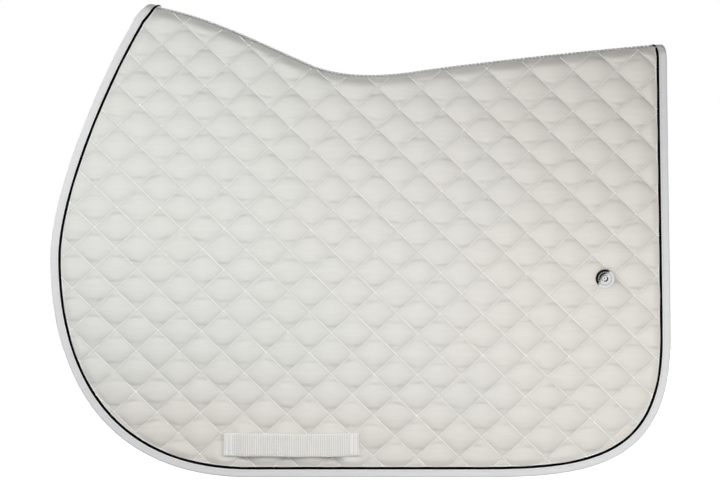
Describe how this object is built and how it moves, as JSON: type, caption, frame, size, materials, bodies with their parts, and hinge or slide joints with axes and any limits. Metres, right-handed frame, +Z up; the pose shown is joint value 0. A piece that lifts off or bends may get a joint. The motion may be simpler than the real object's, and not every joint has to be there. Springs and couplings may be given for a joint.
{
  "type": "quilted saddle pad",
  "caption": "Quilted saddle pad folded along its spine, two hinged flaps with bound and piped edges, a webbing girth keeper on each side and a domed badge.",
  "frame": {"origin": "low point of the spine, on the line where the two halves join", "axes": "+X towards the pad's rear, +Z up, near (left) half on the -Y side"},
  "size_m": [0.677, 0.034, 0.517],
  "materials": {
    "shell_cotton": "white cotton twill, diamond quilted",
    "lining_cotton": "plain white cotton, diamond quilted",
    "wadding": "soft polyester wadding",
    "binding_tape": "smooth woven tape, light grey-white",
    "spine_overcast": "overcast with thick cotton thread",
    "piping_black": "black satin-faced strip folded round a cord",
    "piping_core": "twisted cotton cord",
    "webbing": "ribbed white webbing",
    "thread": "white sewing thread",
    "badge_metal": "polished",
    "rivet_metal": "plain"
  },
  "bodies": {
    "spine": {"spine_binding": "spine_overcast", "withers_binding": "binding_tape", "croup_binding": "binding_tape", "top_piping_cover": "piping_black", "top_piping_cord": "piping_core", "left_shell_top": "shell_cotton", "left_wadding_top": "wadding", "left_lining_top": "lining_cotton", "right_shell_top": "shell_cotton", "right_wadding_top": "wadding", "right_lining_top": "lining_cotton", "left_quilting_thread_top": "thread", "right_quilting_thread_top": "thread"},
    "left_flap": {"left_shell": "shell_cotton", "left_wadding": "wadding", "left_lining": "lining_cotton", "left_quilting_thread": "thread", "left_binding": "binding_tape", "left_piping_cover": "piping_black", "left_piping_cord": "piping_core", "left_girth_keeper": "webbing", "left_keeper_stitching": "thread", "badge_cap": "badge_metal", "badge_rivet": "rivet_metal", "badge_washer": "rivet_metal"},
    "right_flap": {"right_shell": "shell_cotton", "right_wadding": "wadding", "right_lining": "lining_cotton", "right_quilting_thread": "thread", "right_binding": "binding_tape", "right_piping_cover": "piping_black", "right_piping_cord": "piping_core", "right_girth_keeper": "webbing", "right_keeper_stitching": "thread"}
  },
  "joints": [
    {"name": "left_flap_hinge", "type": "hinge", "parent": "spine", "child": "left_flap", "pos_m": [0, -0.0145, -0.025], "axis": [-1, 0, 0], "range_deg": [0, 80]},
    {"name": "right_flap_hinge", "type": "hinge", "parent": "spine", "child": "right_flap", "pos_m": [0, 0.0145, -0.025], "axis": [1, 0, 0], "range_deg": [0, 80]}
  ]
}
